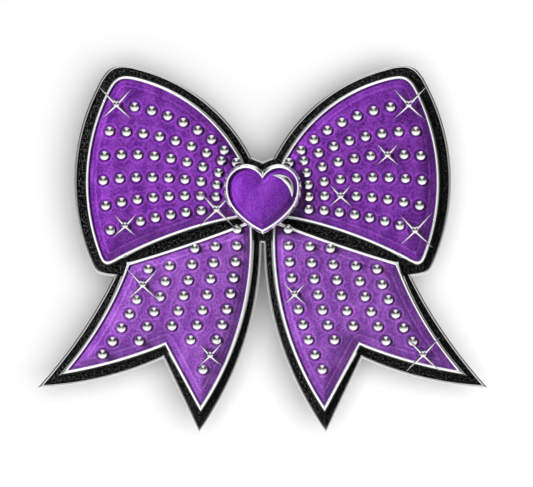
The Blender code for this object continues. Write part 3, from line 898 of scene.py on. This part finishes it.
def make_felt():
    """A round-cornered pad, cut into small faces and roughened."""
    low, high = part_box("felt_pad")
    bm = bmesh.new()
    bmesh.ops.create_cube(bm, size=1)
    size = high - low
    bmesh.ops.scale(bm, vec=size, verts=bm.verts)
    bmesh.ops.translate(bm, vec=(low + high) / 2, verts=bm.verts)
    corners = [e for e in bm.edges if abs(e.verts[0].co.y - e.verts[1].co.y) > 1e-4]
    bmesh.ops.bevel(bm, geom=corners, offset=3 * MM, segments=5, affect="EDGES")
    for axis, count in ((0, 44), (2, 9)):
        for i in range(1, count):
            place = low.copy()
            place[axis] += size[axis] * i / count
            normal = Vector((0, 0, 0))
            normal[axis] = 1
            geometry = bm.verts[:] + bm.edges[:] + bm.faces[:]
            bmesh.ops.bisect_plane(bm, geom=geometry, plane_co=place, plane_no=normal)
    rng = np.random.default_rng(3)
    for vert in bm.verts:
        vert.co += Vector(rng.normal(size=3) * 0.05 * MM)
    new_piece("felt_backing", bm, FELT, "felt_pad", smooth_angle=60)


def dress(name, material):
    """Shows the CAD part itself, in this material."""
    node = frame["nodes"][name]
    node.data.materials.clear()
    node.data.materials.append(material)
    return node


def dress_barrette():
    """The barrette's CAD parts in steel, with softened edges."""
    for name in BARRETTE:
        node = dress(name, STEEL)
        weld = node.modifiers.new("weld", "WELD")
        weld.merge_threshold = WELD
        bevel = node.modifiers.new("bevel", "BEVEL")
        bevel.width = 0.12 * MM
        bevel.segments = 2
        bevel.limit_method = "ANGLE"
        bevel.angle_limit = math.radians(50)


# Stage, light and camera


CARD_GAP = 2 * MM  # behind the bow's rearmost point
CARD_SIZE = (0.62, 0.50)
FLOOR_Z = -0.26
FLOOR_SIZE = 4


def pale_surface():
    """Matt white from in front, and clear from behind."""
    material, shader, nodes = new_material(
        "pale backdrop", base_color=(0.9, 0.9, 0.9), roughness=0.9, specular_ior_level=0.1
    )
    behind = nodes.add("ShaderNodeNewGeometry").outputs["Backfacing"]
    clear = nodes.add("ShaderNodeBsdfTransparent").outputs[0]
    mixed = nodes.add("ShaderNodeMixShader", {0: behind, 1: shader.outputs[0], 2: clear})
    nodes.tree.links.new(mixed.outputs[0], nodes.tree.nodes["Material Output"].inputs["Surface"])
    return material


def make_stage():
    """A card close behind the bow, and a floor well below it. Neither shows in reflections."""
    material = pale_surface()
    card_y = cad_box[1].y + CARD_GAP
    bpy.ops.mesh.primitive_plane_add(size=1, location=(0, card_y, 0), rotation=(math.radians(90), 0, 0))
    card = bpy.context.object
    card.name = "backdrop_card"
    card.scale = (*CARD_SIZE, 1)
    bpy.ops.mesh.primitive_plane_add(size=FLOOR_SIZE, location=(0, 0, FLOOR_Z))
    floor = bpy.context.object
    floor.name = "floor"
    for surface in (card, floor):
        surface.data.materials.append(material)
        surface.visible_glossy = False
    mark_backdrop(card, floor)


def add_area(name, place, size, power, only):
    """A soft round light aimed at the bow. It lights one collection, and shows in no reflection."""
    light = bpy.data.lights.new(name, "AREA")
    light.shape = "DISK"
    light.size = size
    light.energy = power
    lamp = bpy.data.objects.new(name, light)
    bpy.context.scene.collection.objects.link(lamp)
    lamp.location = place
    lamp.rotation_euler = (-Vector(place)).to_track_quat("-Z", "Y").to_euler()
    lamp.visible_glossy = False
    lamp.visible_camera = False
    lamp.light_linking.receiver_collection = only


def make_light():
    """Two soft lamps, and a room for the metal to mirror.

    The room has a white table below, and darkness above with a long ceiling light from front to back.
    """
    world = bpy.data.worlds.new("studio")
    bpy.context.scene.world = world
    world.cycles.sampling_method = "NONE"
    world.use_nodes = True
    nodes = Nodes(world.node_tree)
    direction = nodes.add("ShaderNodeTexCoord").outputs["Generated"]
    parts = nodes.add("ShaderNodeSeparateXYZ", {0: direction}).outputs
    side = nodes.math("ABSOLUTE", parts["X"])
    table = nodes.ramp(parts["Z"], -0.5, 0.0, 1.12, 0.4)
    dark = nodes.ramp(parts["Z"], 0.0, 0.28, 0.4, 0.05)
    slope = nodes.math("DIVIDE", side, nodes.math("MAXIMUM", parts["Z"], 0.001))
    brightness = nodes.ramp(parts["Z"], 0.1, 0.6, 0, 0.9)
    strip = nodes.math("MULTIPLY", nodes.ramp(slope, 0.75, 0.35), brightness)
    above = nodes.math("ADD", dark, strip)
    below = nodes.math("LESS_THAN", parts["Z"], 0.0)
    room = nodes.mix(below, nodes.grey(above), nodes.grey(table))
    path = nodes.add("ShaderNodeLightPath").outputs
    # the room is black after a diffuse bounce, or the bow would mirror it into its own shadow
    direct = nodes.math("LESS_THAN", path["Diffuse Depth"], 0.5)
    room = nodes.mix(direct, (0, 0, 0), room)
    plain = nodes.mix(path["Is Camera Ray"], (0.32, 0.32, 0.32), (1.0, 1.0, 1.0))
    background = world.node_tree.nodes["Background"]
    nodes.tree.links.new(nodes.mix(path["Is Glossy Ray"], plain, room), background.inputs["Color"])
    bow, stage = bpy.data.collections.new("the bow"), bpy.data.collections.new("the stage")
    for obj in bpy.context.scene.objects:
        if obj.type == "MESH":
            (stage if "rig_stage" in obj else bow).objects.link(obj)
    add_area("front softbox", (0.085, -0.6, -0.1), 0.84, 5.8, stage)
    add_area("left key", (-0.78, -0.64, 0.26), 0.7, 46, bow)


PIXEL = 0.4 * MM  # size of a pixel at the bow's front
FRAME = (533, 487)
ORIGIN_PIXEL = (262.6, 200.0)  # column and row where the model's origin shows


def make_camera():
    """Square on to the bow's front."""
    camera = bpy.data.cameras.new("camera")
    camera.lens = 120
    camera.sensor_width = 36
    distance = FRAME[0] * PIXEL * camera.lens / camera.sensor_width
    front, _ = y_range("loop_cover_left")
    obj = bpy.data.objects.new("camera", camera)
    bpy.context.scene.collection.objects.link(obj)
    x = (FRAME[0] / 2 - ORIGIN_PIXEL[0]) * PIXEL
    z = (ORIGIN_PIXEL[1] - FRAME[1] / 2) * PIXEL
    obj.location = (x, front - distance, z)
    obj.rotation_euler = (math.radians(90), 0, 0)
    bpy.context.scene.camera = obj


make_plate()
make_border()
for side in SIDES:
    for kind, material in (("loop", LOOP_SATIN), ("tail", TAIL_SATIN)):
        outline, surface, painted_crease_shading = padded_surface(kind, side)
        make_rim(kind, side)
        make_panel(kind, side, material, outline, surface, painted_crease_shading)
        for row in range(1, ROWS[kind] + 1):
            make_stud_row(kind, side, row, surface)
for node in SPARKLE_NODES:
    make_sparkle(node)
make_heart()
dress("knot_core", BORDER)  # the block that carries the heart, covered like the border
make_felt()
dress_barrette()
make_stage()
make_light()
make_camera()
bpy.context.scene.view_settings.view_transform = "Standard"
